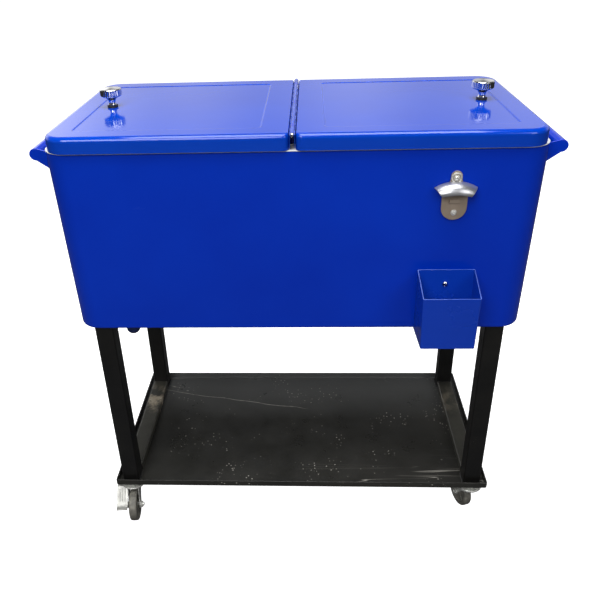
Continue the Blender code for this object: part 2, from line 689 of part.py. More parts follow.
# ---------------------------------------------------------------- assembly
def main():
    clear_scene()
    root = empty("cart", (0, FRAME_SHIFT_Y, 0))
    build_frame(root)
    build_tub(root)
    lids = {}
    for side, name in ((-1, "left"), (1, "right")):
        pivot = empty("lid_pivot_" + name, (0, 0, HINGE_Z), 0.0, root)
        inner = empty("lid_frame_" + name, (0, 0, -HINGE_Z), 0.0, pivot)
        lids[name] = inner
        build_lid(side, name, inner)
    build_hinge(root, lids)
    build_handles(root)
    build_opener(root)
    build_box(root)
    for caster in CASTERS:
        build_caster(*caster, root)


main()
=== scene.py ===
"""Patio cooler cart: the detailed model and its studio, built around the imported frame. Metres, +Z up."""

import json
import math
import random

import bmesh
import bpy
from mathutils import Matrix, Vector


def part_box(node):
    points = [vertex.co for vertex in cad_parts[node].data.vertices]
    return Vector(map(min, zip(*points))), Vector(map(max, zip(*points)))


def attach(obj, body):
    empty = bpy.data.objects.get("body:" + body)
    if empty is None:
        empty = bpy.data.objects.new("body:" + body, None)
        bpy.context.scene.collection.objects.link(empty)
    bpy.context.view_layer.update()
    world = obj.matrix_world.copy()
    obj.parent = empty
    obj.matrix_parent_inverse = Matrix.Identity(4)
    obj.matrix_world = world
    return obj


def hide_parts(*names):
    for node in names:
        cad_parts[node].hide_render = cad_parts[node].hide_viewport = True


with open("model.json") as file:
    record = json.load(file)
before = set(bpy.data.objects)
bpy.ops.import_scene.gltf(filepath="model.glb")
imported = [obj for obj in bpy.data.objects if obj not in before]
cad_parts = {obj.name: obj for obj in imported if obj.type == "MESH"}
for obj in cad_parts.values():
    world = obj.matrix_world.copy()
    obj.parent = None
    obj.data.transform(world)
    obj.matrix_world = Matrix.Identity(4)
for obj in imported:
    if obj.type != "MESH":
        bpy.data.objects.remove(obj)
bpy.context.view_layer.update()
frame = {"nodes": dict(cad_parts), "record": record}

# ---------------------------------------------------------------- places, worked out from the frame


def middle(node):
    lo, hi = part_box(node)
    return (lo + hi) / 2


TUB_LO, TUB_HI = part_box("tub_shell")
TUB_W = TUB_HI.x - TUB_LO.x
TUB_D = TUB_HI.y - TUB_LO.y
MID_Y = (TUB_LO.y + TUB_HI.y) / 2
TAPER = 0.0075              # how much narrower the tub is at its bottom
TUB_R = 0.039
SHEET = 0.001
EMBOSS_X = (0.048, 0.330)
EMBOSS_Y = 0.150
KNOB_X = 0.307
POST_Y = tuple(MID_Y + y for y in (-0.144, 0.0, 0.144))
WHEEL_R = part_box("caster_wheel_front_left")[1].z / 2
WHEEL_W = 0.015
TYRE_INSET = 0.0003         # keeps the round tyre inside the box of the CAD wheel, which has flats
TRAIL = 0.025
PEDAL_X = 0.008
PEDAL_Z = 0.066
CORNERS = ("front_left", "front_right", "rear_left", "rear_right")
# heading in degrees from -Y towards +X, and whether there is a brake
CASTERS = {
    "front_left": (5.0, True),
    "front_right": (-162.0, True),
    "rear_left": (158.0, False),
    "rear_right": (-165.0, False),
}


# ---------------------------------------------------------------- outlines and mesh builders
def rounded_rect(w, d, r, n=10, cx=0.0, cy=0.0, radii=None):
    """Counter-clockwise outline; radii gives one radius per corner, from +X+Y round to +X-Y."""
    radii = radii or (r, r, r, r)
    corners = ((1, 1, 0.0), (-1, 1, 90.0), (-1, -1, 180.0), (1, -1, 270.0))
    points = []
    for (sx, sy, start), rad in zip(corners, radii):
        for i in range(n + 1):
            a = math.radians(start + 90.0 * i / n)
            x = cx + sx * (w / 2 - rad) + rad * math.cos(a)
            y = cy + sy * (d / 2 - rad) + rad * math.sin(a)
            points.append((x, y))
    return points


def at_height(outline, z):
    return [(x, y, z) for x, y in outline]


def arc(cx, cy, r, a0, a1, n):
    """Points of an arc in degrees, both ends included."""
    out = []
    for i in range(n + 1):
        a = math.radians(a0 + (a1 - a0) * i / n)
        out.append((cx + r * math.cos(a), cy + r * math.sin(a)))
    return out


def skin(loops, cyclic=False, bm=None, turn=None, caps=True):
    """A surface through loops of equal length, capped at both ends unless cyclic."""
    bm = bm or bmesh.new()
    rows = []
    for loop in loops:
        row = []
        for p in loop:
            v = Vector(p)
            row.append(bm.verts.new(turn @ v if turn else v))
        rows.append(row)
    count = len(rows[0])
    pairs = list(zip(rows, rows[1:]))
    if cyclic:
        pairs.append((rows[-1], rows[0]))
    for low, high in pairs:
        for i in range(count):
            j = (i + 1) % count
            bm.faces.new((low[i], low[j], high[j], high[i]))
    if caps and not cyclic:
        bm.faces.new(rows[0][::-1])
        bm.faces.new(rows[-1])
    return bm


def ring(r, z, n=48, hexagon=False, wave=None):
    """One row of a lathe: round, hexagonal, or fluted by wave, which gives the cut at each angle."""
    loop = []
    for i in range(n):
        a = 2 * math.pi * i / n
        rad = r
        if hexagon:
            step = math.pi / 3
            rad = r * math.cos(math.pi / 6) / math.cos((a % step) - math.pi / 6)
        if wave:
            rad = rad * (1 - wave(a))
        loop.append((rad * math.cos(a), rad * math.sin(a), z))
    return loop


def lathe(profile, n=48, cyclic=False, bm=None, turn=None, hex_rows=(), waves=None):
    """Revolve (radius, z) pairs about Z. hex_rows come out hexagonal; waves maps a row to its fluting."""
    loops = []
    for i, (r, z) in enumerate(profile):
        loops.append(ring(r, z, n, i in hex_rows, (waves or {}).get(i)))
    return skin(loops, cyclic, bm, turn)


def extrude_xz(points, y0, y1, bm=None, turn=None):
    """Extrude an (x, z) outline along Y."""
    return skin([[(x, y0, z) for x, z in points], [(x, y1, z) for x, z in points]], bm=bm, turn=turn)


def round_profile(points, radius, steps=4):
    """Replace each inner corner of an open (a, b) polyline by an arc of this radius."""
    out = [points[0]]
    for before, here, after in zip(points, points[1:], points[2:]):
        p, q, r = Vector(before), Vector(here), Vector(after)
        u, v = (p - q), (r - q)
        cut = min(radius, u.length * 0.45, v.length * 0.45)
        a, b = q + u.normalized() * cut, q + v.normalized() * cut
        for i in range(steps + 1):
            t = i / steps
            out.append(tuple(a * (1 - t) ** 2 + q * 2 * t * (1 - t) + b * t * t))
    out.append(points[-1])
    return out


TO_Y = Matrix.Rotation(math.radians(-90.0), 4, "X")      # a lathe's axis becomes +Y
TO_FRONT = Matrix.Rotation(math.radians(90.0), 4, "X")   # a lathe's axis becomes -Y


def place(x=0.0, y=0.0, z=0.0, turn=None):
    """A move to (x, y, z), after the turn if there is one."""
    m = Matrix.Translation((x, y, z))
    return m @ turn if turn else m


def piece(name, bm, mat, body, replaces=(), bevel=0.0, segments=2, smooth=35.0):
    """Turns a bmesh into a finished piece: normals, shading, material, and the body that it rides on."""
    bmesh.ops.recalc_face_normals(bm, faces=bm.faces[:])
    mesh = bpy.data.meshes.new(name)
    bm.to_mesh(mesh)
    bm.free()
    for poly in mesh.polygons:
        poly.use_smooth = True
    mesh.set_sharp_from_angle(angle=math.radians(smooth))
    mesh.materials.append(mat)
    obj = bpy.data.objects.new(name, mesh)
    bpy.context.scene.collection.objects.link(obj)
    if bevel:
        mod = obj.modifiers.new("edges", "BEVEL")
        mod.width = bevel
        mod.segments = segments
        mod.limit_method = "ANGLE"
        mod.angle_limit = math.radians(35.0)
        mod.harden_normals = True
        mod.miter_outer = "MITER_ARC"
    even = obj.modifiers.new("even_shading", "WEIGHTED_NORMAL")
    even.keep_sharp = True
    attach(obj, body)
    if replaces:
        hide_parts(*replaces)
    return obj


# ---------------------------------------------------------------- material helpers
class Nodes:
    """Short names for the few node types that the materials use."""

    def __init__(self, name):
        self.mat = bpy.data.materials.new(name)
        self.mat.use_nodes = True
        self.tree = self.mat.node_tree
        self.shader = self.tree.nodes["Principled BSDF"]
        self.coord = self.tree.nodes.new("ShaderNodeTexCoord").outputs["Object"]

    def link(self, a, b):
        self.tree.links.new(a, b)

    def set(self, **values):
        for key, value in values.items():
            self.shader.inputs[key.replace("_", " ")].default_value = value

    def stretch(self, scale, turn=(0.0, 0.0, 0.0)):
        node = self.tree.nodes.new("ShaderNodeMapping")
        node.inputs["Scale"].default_value = scale
        node.inputs["Rotation"].default_value = turn
        self.link(self.coord, node.inputs["Vector"])
        return node.outputs["Vector"]

    def noise(self, scale, detail=3.0, rough=0.55, vector=None):
        node = self.tree.nodes.new("ShaderNodeTexNoise")
        node.inputs["Scale"].default_value = scale
        node.inputs["Detail"].default_value = detail
        node.inputs["Roughness"].default_value = rough
        self.link(vector or self.coord, node.inputs["Vector"])
        return node.outputs["Fac"]

    def cells(self, scale, feature="F1"):
        node = self.tree.nodes.new("ShaderNodeTexVoronoi")
        node.feature = feature
        node.inputs["Scale"].default_value = scale
        self.link(self.coord, node.inputs["Vector"])
        return node.outputs["Distance"]

    def ramp(self, value, *stops):
        """stops are (position, grey or colour)."""
        node = self.tree.nodes.new("ShaderNodeValToRGB")
        band = node.color_ramp
        while len(band.elements) < len(stops):
            band.elements.new(0.5)
        for element, (at, colour) in zip(band.elements, stops):
            element.position = at
            if isinstance(colour, (int, float)):
                colour = (colour, colour, colour)
            element.color = (*colour, 1.0)
        self.link(value, node.inputs["Fac"])
        return node.outputs["Color"]

    def remap(self, value, a, b, lo=0.0, hi=1.0):
        node = self.tree.nodes.new("ShaderNodeMapRange")
        node.inputs["From Min"].default_value = lo
        node.inputs["From Max"].default_value = hi
        node.inputs["To Min"].default_value = a
        node.inputs["To Max"].default_value = b
        self.link(value, node.inputs["Value"])
        return node.outputs["Result"]

    def math(self, operation, a, b=None, clamp=False):
        node = self.tree.nodes.new("ShaderNodeMath")
        node.operation = operation
        node.use_clamp = clamp
        for socket, value in zip(node.inputs, (a, b)):
            if value is None:
                continue
            if isinstance(value, (int, float)):
                socket.default_value = value
            else:
                self.link(value, socket)
        return node.outputs[0]

    def mix(self, factor, a, b):
        node = self.tree.nodes.new("ShaderNodeMix")
        node.data_type = "RGBA"
        if isinstance(factor, (int, float)):
            node.inputs["Factor"].default_value = factor
        else:
            self.link(factor, node.inputs["Factor"])
        for socket, value in ((node.inputs[6], a), (node.inputs[7], b)):
            if isinstance(value, tuple):
                socket.default_value = (*value, 1.0)
            else:
                self.link(value, socket)
        return node.outputs[2]

    def axis(self, name):
        node = self.tree.nodes.new("ShaderNodeSeparateXYZ")
        self.link(self.coord, node.inputs["Vector"])
        return node.outputs[name]

    def colour(self, socket):
        self.link(socket, self.shader.inputs["Base Color"])

    def roughness(self, socket):
        self.link(socket, self.shader.inputs["Roughness"])

    def bump(self, *layers):
        """layers are (height socket, strength, distance in metres), coarse first."""
        normal = None
        for height, strength, distance in layers:
            node = self.tree.nodes.new("ShaderNodeBump")
            node.inputs["Strength"].default_value = strength
            node.inputs["Distance"].default_value = distance
            self.link(height, node.inputs["Height"])
            if normal:
                self.link(normal, node.inputs["Normal"])
            normal = node.outputs["Normal"]
        self.link(normal, self.shader.inputs["Normal"])


def scratches(n, scale, turn, thin=0.485, width=0.006):
    """Fine straight lines: a noise stretched along one direction, cut to a narrow band."""
    v = n.stretch((scale * 0.04, scale, scale), turn)
    field = n.noise(1.0, 2.0, 0.5, v)
    near = n.math("ABSOLUTE", n.math("SUBTRACT", field, thin))
    line = n.math("SUBTRACT", 1.0, n.math("DIVIDE", near, width), clamp=True)
    gate = n.ramp(n.noise(scale * 0.10, 2.0), (0.56, 0.0), (0.66, 1.0))
    return n.math("MULTIPLY", line, gate)


def long_scratch(n, start, end, width):
    """One scratch in plan from start to end, which wavers and fades here and there."""
    (x0, y0), (x1, y1) = start, end
    slope = (y1 - y0) / (x1 - x0)
    straight = n.math("ADD", n.math("MULTIPLY", n.axis("X"), slope), y0 - slope * x0)
    waver = n.math("MULTIPLY", n.math("SUBTRACT", n.noise(9.0, 2.0), 0.5), 0.02)
    away = n.math("ABSOLUTE", n.math("SUBTRACT", n.axis("Y"), n.math("ADD", straight, waver)))
    line = n.math("SUBTRACT", 1.0, n.math("DIVIDE", away, width), clamp=True)
    inside = n.math("MULTIPLY", n.remap(n.axis("X"), 0.0, 1.0, x0, x0 + 0.02),
                    n.remap(n.axis("X"), 1.0, 0.0, x1 - 0.04, x1))
    fade = n.remap(n.noise(60.0, 3.0), 0.4, 1.0, 0.35, 0.6)
    return n.math("MULTIPLY", n.math("MULTIPLY", line, inside), fade)


def blue_paint(name, deep, light, rough=(0.11, 0.19), ior=1.45):
    """Deep gloss enamel with faint orange peel, smudges and hairline scratches."""
    n = Nodes(name)
    n.colour(n.mix(n.ramp(n.noise(5.0, 3.0), (0.35, 0.0), (0.70, 1.0)), deep, light))
    smudge = n.noise(14.0, 4.0, 0.6)
    marks = scratches(n, 60.0, (0.0, 0.0, 0.5))
    n.roughness(n.math("ADD", n.remap(smudge, *rough, 0.3, 0.7), n.math("MULTIPLY", marks, 0.12)))
    n.bump((n.noise(7.0, 1.0), 0.10, 0.004), (n.noise(420.0, 2.0), 0.04, 0.0004))
    n.set(IOR=ior)
    return n.mat


def black_paint():
    n = Nodes("satin_black_paint")
    dust = n.ramp(n.noise(9.0, 5.0, 0.65), (0.45, 0.0), (0.75, 1.0))
    base = n.mix(n.math("MULTIPLY", dust, 0.4), (0.004, 0.004, 0.004), (0.022, 0.020, 0.016))
    specks = n.ramp(n.cells(260.0), (0.05, 1.0), (0.09, 0.0))
    gate = n.ramp(n.noise(30.0, 2.0), (0.58, 0.0), (0.64, 1.0))
    chips = n.math("MULTIPLY", specks, gate)
    n.colour(n.mix(n.math("MULTIPLY", chips, 0.7), base, (0.30, 0.28, 0.24)))
    n.roughness(n.remap(n.noise(25.0, 4.0), 0.28, 0.46, 0.3, 0.7))
    n.bump((n.noise(300.0, 2.0), 0.10, 0.0004))
    n.set(IOR=1.45)
    return n.mat


def tray_paint():
    n = Nodes("scuffed_black_tray")
    cloud = n.ramp(n.noise(6.0, 5.0, 0.6), (0.35, 0.0), (0.75, 1.0))
    base = n.mix(cloud, (0.014, 0.014, 0.012), (0.032, 0.031, 0.027))
    long_marks = scratches(n, 22.0, (0.0, 0.0, 1.35), 0.50, 0.004)
    cross_marks = scratches(n, 26.0, (0.0, 0.0, 0.12), 0.47, 0.003)
    marks = n.math("MAXIMUM", long_marks, cross_marks)
    dots = n.ramp(n.cells(120.0), (0.10, 1.0), (0.20, 0.0))
    dots = n.math("MULTIPLY", dots, n.ramp(n.noise(11.0, 3.0), (0.53, 0.0), (0.62, 1.0)))
    wear = n.math("MAXIMUM", n.math("MULTIPLY", marks, 0.9), n.math("MULTIPLY", dots, 0.75))
    wear = n.math("MAXIMUM", wear, long_scratch(n, (-0.33, MID_Y + 0.125), (0.02, MID_Y + 0.055), 0.0011))
    # painted reflection: the tray's colour lightens towards the back, standing in for the light caught there
    painted_sheen = n.remap(n.axis("Y"), 0.0, 0.8, MID_Y + 0.02, MID_Y + 0.15)
    base = n.mix(painted_sheen, base, (0.105, 0.108, 0.106))
    n.colour(n.mix(wear, base, (0.46, 0.44, 0.39)))
    n.roughness(n.remap(n.noise(16.0, 5.0, 0.65), 0.24, 0.48, 0.3, 0.7))
    n.bump((n.noise(4.0, 1.0), 0.12, 0.004), (n.noise(240.0, 2.0), 0.10, 0.0004))
    n.set(IOR=1.45)
    return n.mat


def worn_rail(name, amount):
    """Black rail with a patch rubbed through to tan primer towards its rear end."""
    n = Nodes(name)
    y = n.axis("Y")
    rear = n.remap(y, 0.0, 1.0, MID_Y + 0.015, MID_Y + 0.055)
    end = n.remap(y, 1.0, 0.0, MID_Y + 0.085, MID_Y + 0.125)
    patch = n.math("MULTIPLY", n.math("MULTIPLY", rear, end), amount)
    rubbed = n.ramp(n.noise(38.0, 6.0, 0.7), (0.44, 0.0), (0.60, 1.0))
    wear = n.math("MULTIPLY", patch, rubbed)
    film = n.ramp(n.noise(9.0, 4.0), (0.35, 0.0), (0.75, 1.0))
    base = n.mix(film, (0.020, 0.020, 0.017), (0.055, 0.053, 0.040))
    tan = n.mix(n.noise(60.0, 4.0), (0.52, 0.47, 0.36), (0.16, 0.11, 0.07))
    n.colour(n.mix(wear, base, tan))
    n.roughness(n.remap(n.noise(30.0, 4.0), 0.30, 0.55, 0.3, 0.7))
    n.bump((rubbed, 0.15, 0.0003), (n.noise(260.0, 2.0), 0.08, 0.0003))
    n.set(IOR=1.45)
    return n.mat


def zinc():
    n = Nodes("zinc_plate")
    spangle = n.ramp(n.cells(120.0, "SMOOTH_F1"), (0.0, (0.56, 0.57, 0.54)), (0.7, (0.78, 0.78, 0.74)))
    grime = n.ramp(n.noise(55.0, 5.0, 0.65), (0.50, 0.0), (0.72, 1.0))
    n.colour(n.mix(n.math("MULTIPLY", grime, 0.55), spangle, (0.20, 0.19, 0.16)))
    n.roughness(n.remap(n.noise(90.0, 4.0), 0.20, 0.42, 0.3, 0.7))
    n.bump((n.noise(260.0, 3.0), 0.12, 0.0003))
    n.set(Metallic=0.55)
    return n.mat


def chrome():
    n = Nodes("polished_chrome")
    haze = n.noise(45.0, 4.0)
    n.colour(n.mix(n.ramp(haze, (0.4, 0.0), (0.7, 1.0)), (0.80, 0.80, 0.81), (0.72, 0.72, 0.72)))
    n.roughness(n.remap(haze, 0.04, 0.11, 0.3, 0.7))
    n.bump((n.noise(500.0, 2.0), 0.02, 0.0002))
    n.set(Metallic=1.0)
    return n.mat


def tyre():
    """Grey rubber with ground-in dirt."""
    n = Nodes("grey_rubber")
    dirt = n.ramp(n.noise(70.0, 5.0, 0.65), (0.38, 0.0), (0.70, 1.0))
    n.colour(n.mix(dirt, (0.085, 0.082, 0.070), (0.22, 0.21, 0.18)))
    n.roughness(n.remap(n.noise(120.0, 3.0), 0.42, 0.70, 0.3, 0.7))
    n.bump((n.noise(350.0, 3.0), 0.25, 0.0004))
    n.set(IOR=1.5)
    return n.mat


def plain(name, dark, light, rough, grain=200.0, metal=0.0, bump=0.08):
    """A quiet surface whose colour, gloss and relief still vary."""
    n = Nodes(name)
    field = n.noise(grain * 0.15, 4.0)
    n.colour(n.mix(n.ramp(field, (0.3, 0.0), (0.75, 1.0)), dark, light))
    n.roughness(n.remap(n.noise(grain * 0.3, 3.0), rough - 0.06, rough + 0.10, 0.3, 0.7))
    n.bump((n.noise(grain, 3.0), bump, 0.0004))
    n.set(Metallic=metal)
    return n.mat


def foam():
    n = Nodes("rigid_foam")
    beads = n.cells(220.0, "SMOOTH_F1")
    n.colour(n.mix(n.ramp(beads, (0.1, 0.0), (0.6, 1.0)), (0.84, 0.79, 0.62), (0.70, 0.63, 0.44)))
    n.roughness(n.remap(n.noise(80.0, 3.0), 0.78, 0.95, 0.3, 0.7))
    n.bump((beads, 0.4, 0.0008))
    return n.mat


WORLD_DIM = 0.045           # brightness of the room in front
WORLD_REAR = 0.72           # and low down behind
WORLD_HIGH = 0.10           # times dimmer high up
WORLD_BANDS = 26.0          # soft upright bands of light and shade, in radians per unit of X
WORLD_LEFT = 2.4            # times brighter at the far left
FLOOR_LIFT = 1.0            # light added to the floor for the camera, so that it shows plain white
FLOOR_BOUNCE = 0.10         # how bright the floor is for all but the camera
# name, position, aimed at, size, watts
LIGHTS = (
    ("key", (-0.9, -2.6, 2.6), (0.0, 0.0, 0.45), 1.6, 66.0),
    ("fill", (1.8, -2.2, 1.9), (0.0, 0.0, 0.4), 1.4, 24.0),
    ("top", (0.0, -0.3, 2.6), (0.0, 0.0, 0.7), 1.5, 62.0),
)
MAT = {
    "blue_paint": blue_paint("glossy_blue_paint", (0.0003, 0.026, 0.415), (0.0006, 0.032, 0.465), ior=1.34),
    "lid_paint": blue_paint("glossy_blue_lid", (0.0008, 0.040, 0.400), (0.0014, 0.048, 0.450), (0.06, 0.11)),
    "box_paint": blue_paint("glossy_blue_box", (0.0025, 0.036, 0.390), (0.0040, 0.042, 0.430), (0.20, 0.30)),
    # painted highlight: a lighter blue for the box's top rim, standing in for light along that edge
    "rim_highlight_paint": blue_paint("blue_rim_painted_highlight", (0.05, 0.11, 0.48), (0.20, 0.28, 0.62), (0.18, 0.30)),
    "black_paint": black_paint(),
    "tray_paint": tray_paint(),
    "rail_left": worn_rail("worn_rail_left", 1.0),
    "rail_right": worn_rail("worn_rail_right", 0.25),
    "zinc": zinc(),
    "pedal_zinc": plain("pressed_zinc", (0.26, 0.26, 0.24), (0.50, 0.50, 0.47), 0.34, 520.0, 0.35),
    "chrome": chrome(),
    "nickel": plain("satin_nickel", (0.40, 0.41, 0.44), (0.50, 0.50, 0.52), 0.30, 60.0, 0.85, 0.02),
    "nickel_plate": plain("warm_nickel_plate", (0.33, 0.26, 0.20), (0.42, 0.34, 0.27), 0.34, 260.0, 0.35),
    "bright_nickel": plain("bright_nickel", (0.66, 0.65, 0.60), (0.84, 0.83, 0.79), 0.24, 300.0, 0.45),
    "tyre": tyre(),
    "hub": plain("grey_hub_plastic", (0.10, 0.10, 0.085), (0.20, 0.19, 0.165), 0.42, 260.0),
    "foam": foam(),
    "liner": plain("white_liner", (0.74, 0.75, 0.74), (0.82, 0.83, 0.82), 0.34, 160.0),
    # near-white and not metal: the trim's brightness in the shade of the lids is a painted reflection
    "trim": plain("trim_painted_reflection", (0.80, 0.80, 0.78), (0.96, 0.96, 0.94), 0.24, 400.0, 0.0),
    # near-black, which gives the dark ring round each knob's base
    "dark_rubber": plain("near_black_ring", (0.012, 0.012, 0.013), (0.03, 0.03, 0.03), 0.55, 500.0),
    "drain_plastic": plain("dark_blue_plastic", (0.008, 0.018, 0.09), (0.012, 0.026, 0.13), 0.38, 300.0),
}
SLOT_OF = {s["node"]: s["material_slot"] for s in frame["record"]["subparts"]}
for node_name, node_obj in frame["nodes"].items():
    node_obj.data.materials.clear()
    node_obj.data.materials.append(MAT[SLOT_OF[node_name]])


# ---------------------------------------------------------------- studio
def camera():
    """Stands in front, slightly right of the middle, and looks down on the tub."""
    yaw, pitch, roll = math.radians(-3.375), math.radians(28.87), math.radians(-1.98)
    forward = Vector((math.sin(yaw) * math.cos(pitch), math.cos(yaw) * math.cos(pitch), -math.sin(pitch)))
    level = Vector((math.cos(yaw), -math.sin(yaw), 0.0))
    up = level.cross(forward)
    right = level * math.cos(roll) + up * math.sin(roll)
    top = up * math.cos(roll) - level * math.sin(roll)
    data = bpy.data.cameras.new("camera")
    data.lens = 39.87
    data.sensor_width = 36.0
    data.shift_x = 0.0370
    data.shift_y = -0.0172
    obj = bpy.data.objects.new("camera", data)
    bpy.context.scene.collection.objects.link(obj)
    rotation = Matrix((right, top, -forward)).transposed().to_4x4()
    obj.matrix_world = Matrix.Translation((0.0273, MID_Y - 1.1199, 1.0397)) @ rotation
    bpy.context.scene.camera = obj


def area_light(name, position, target, size, power, colour=(1.0, 1.0, 1.0)):
    data = bpy.data.lights.new(name, "AREA")
    data.shape = "SQUARE"
    data.size = size
    data.energy = power
    data.color = colour
    obj = bpy.data.objects.new(name, data)
    obj.location = position
    obj.visible_camera = False
    obj.rotation_euler = (Vector(target) - Vector(position)).to_track_quat("-Z", "Y").to_euler()
    bpy.context.scene.collection.objects.link(obj)


def studio():
    """Bright banded walls behind and to the left, a dim room in front; the backdrop shows plain white."""
    world = bpy.data.worlds.new("studio")
    bpy.context.scene.world = world
    world.use_nodes = True
    tree = world.node_tree
    back = tree.nodes["Background"]

    def node(kind, **values):
        new = tree.nodes.new(kind)
        for key, value in values.items():
            new.inputs[key].default_value = value
        return new

    split = node("ShaderNodeSeparateXYZ")
    tree.links.new(node("ShaderNodeTexCoord").outputs["Generated"], split.inputs["Vector"])

    def band(axis, a, b, lo, hi):
        """Smooth step of one direction component, from lo at a to hi at b."""
        step = tree.nodes.new("ShaderNodeMapRange")
        step.interpolation_type = "SMOOTHSTEP"
        for key, value in zip(("From Min", "From Max", "To Min", "To Max"), (a, b, lo, hi)):
            step.inputs[key].default_value = value
        tree.links.new(split.outputs[axis], step.inputs["Value"])
        return step.outputs["Result"]

    def times(x, y):
        product = tree.nodes.new("ShaderNodeMath")
        product.operation = "MULTIPLY"
        tree.links.new(x, product.inputs[0])
        tree.links.new(y, product.inputs[1])
        return product.outputs[0]

    rear = times(band("Y", 0.0, 0.7, WORLD_DIM, WORLD_REAR), band("X", -0.38, -0.20, WORLD_LEFT, 1.0))
    level = times(times(rear, band("Z", -0.12, 0.10, 0.15, 1.0)), band("Z", 0.30, 0.56, 1.0, WORLD_HIGH))
    phase = tree.nodes.new("ShaderNodeMath")
    phase.operation = "MULTIPLY"
    phase.inputs[1].default_value = WORLD_BANDS
    tree.links.new(split.outputs["X"], phase.inputs[0])
    wave = tree.nodes.new("ShaderNodeMath")
    wave.operation = "SINE"
    tree.links.new(phase.outputs[0], wave.inputs[0])
    streaks = tree.nodes.new("ShaderNodeMapRange")
    for key, value in zip(("From Min", "From Max", "To Min", "To Max"), (-1.0, 1.0, 0.84, 1.12)):
        streaks.inputs[key].default_value = value
    tree.links.new(wave.outputs[0], streaks.inputs["Value"])
    level = times(level, streaks.outputs["Result"])
    sight = node("ShaderNodeLightPath")
    pick = tree.nodes.new("ShaderNodeMix")
    pick.inputs["B"].default_value = 1.0
    tree.links.new(sight.outputs["Is Camera Ray"], pick.inputs["Factor"])
    tree.links.new(level, pick.inputs["A"])
    tree.links.new(pick.outputs["Result"], back.inputs["Strength"])
    back.inputs["Color"].default_value = (1.0, 1.0, 1.0, 1.0)

    for name, position, target, size, power in LIGHTS:
        area_light(name, position, target, size, power)

    n = Nodes("pale_floor")
    seen = n.tree.nodes.new("ShaderNodeLightPath").outputs["Is Camera Ray"]
    pale = n.mix(n.noise(3.0, 2.0), (0.86, 0.86, 0.86), (0.90, 0.90, 0.90))
    n.colour(n.mix(seen, (FLOOR_BOUNCE, FLOOR_BOUNCE, FLOOR_BOUNCE), pale))
    n.roughness(n.remap(n.noise(20.0, 2.0), 0.75, 0.9))
    n.set(Emission_Color=(1.0, 1.0, 1.0, 1.0))
    n.shader.inputs["Specular IOR Level"].default_value = 0.0
    n.link(n.math("MULTIPLY", seen, FLOOR_LIFT), n.shader.inputs["Emission Strength"])
    bm = bmesh.new()
    bmesh.ops.create_grid(bm, x_segments=1, y_segments=1, size=12.0)
    mesh = bpy.data.meshes.new("floor")
    bm.to_mesh(mesh)
    bm.free()
    mesh.materials.append(n.mat)
    floor = bpy.data.objects.new("floor", mesh)
    bpy.context.scene.collection.objects.link(floor)
    bpy.context.scene.view_settings.view_transform = "Standard"


camera()
studio()


# ---------------------------------------------------------------- tub, rim and box
def tub_outline(z, inset):
    """The tapered tub's outline at height z, moved inwards by inset."""
    k = (z - TUB_LO.z) / (TUB_HI.z - TUB_LO.z)
    cut = (1 - k) * TAPER + 2 * inset
    return at_height(rounded_rect(TUB_W - cut, TUB_D - cut, TUB_R - inset, 14, 0.0, MID_Y), z)


def build_tub():
    low, high = TUB_LO.z, TUB_HI.z
    r = 0.0035
    loops = []
    for i in range(7):
        a = math.radians(90.0 * i / 6)
        loops.append(tub_outline(low + r * (1 - math.cos(a)), r * (1 - math.sin(a))))
    for z in (low + r + 0.002, low + 0.10, low + 0.20, high):
        loops.append(tub_outline(z, 0.0))
    loops.append(tub_outline(high, SHEET))
    loops.append(tub_outline(low + r, SHEET))
    loops.append(tub_outline(low + SHEET, r))
    piece("tub_skin", skin(loops), MAT["blue_paint"], "cart", ["tub_shell"])

    # trim between the tub and the lids, rolled over at its outer edge; its near-white colour is a painted
    # reflection, which keeps it bright in the lids' shade
    lo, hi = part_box("rim_trim")
    w, d, h = hi.x - lo.x, hi.y - lo.y, hi.z - lo.z
    loops = []
    for a in range(-90, 91, 30):
        t = math.radians(a)
        inset = h / 2 * (1 - math.cos(t))
        z = (lo.z + hi.z) / 2 + h / 2 * math.sin(t)
        loops.append(at_height(rounded_rect(w - 2 * inset, d - 2 * inset, 0.0396 - inset, 12, 0, MID_Y), z))
    inner = rounded_rect(0.6878, 0.3058, 0.027, 12, 0, MID_Y)
    loops.append(at_height(inner, hi.z))
    loops.append(at_height(inner, lo.z))
    piece("rim_roll", skin(loops, cyclic=True), MAT["trim"], "cart", ["rim_trim"])


def build_box():
    """Bent sheet box with an open, sloping top."""
    lo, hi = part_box("cap_box")
    cx, back, front = (lo.x + hi.x) / 2, hi.y, lo.y
    half = (hi.x - lo.x) / 2
    drop = 0.019
    sheet = 0.0012

    def loop(inset, z, slope):
        out = []
        for x, y in rounded_rect(2.0, 2.0, 0.045, 5):
            k = (1 - y) / 2
            lift = (z - lo.z) / (hi.z - lo.z)
            wide = half - inset - 0.0027 * k * (1 - 0.6 * lift)
            yy = back - inset - k * (back - front - 2 * inset)
            out.append((cx + x * wide, yy, z - slope * k))
        return out

    edge = sheet * 0.25
    loops = [loop(0.0014, lo.z, 0), loop(0.0004, lo.z + 0.0005, 0), loop(0.0, lo.z + 0.0014, 0)]
    loops += [loop(0.0, hi.z - 0.0003, drop), loop(edge, hi.z, drop), loop(sheet - edge, hi.z, drop)]
    loops += [loop(sheet, hi.z - 0.0003, drop), loop(sheet, lo.z + 0.003, 0)]
    loops += [loop(sheet + 0.001, lo.z + sheet, 0)]
    box = piece("cap_box_skin", skin(loops), MAT["box_paint"], "cart", ["cap_box"])
    # the faces along the box's top rim take the lighter blue, a painted highlight
    box.data.materials.append(MAT["rim_highlight_paint"])
    for poly in box.data.polygons:
        c = poly.center
        rim = hi.z - drop * (back - c.y) / (back - front)
        poly.material_index = 1 if c.z > rim - 0.0012 else 0


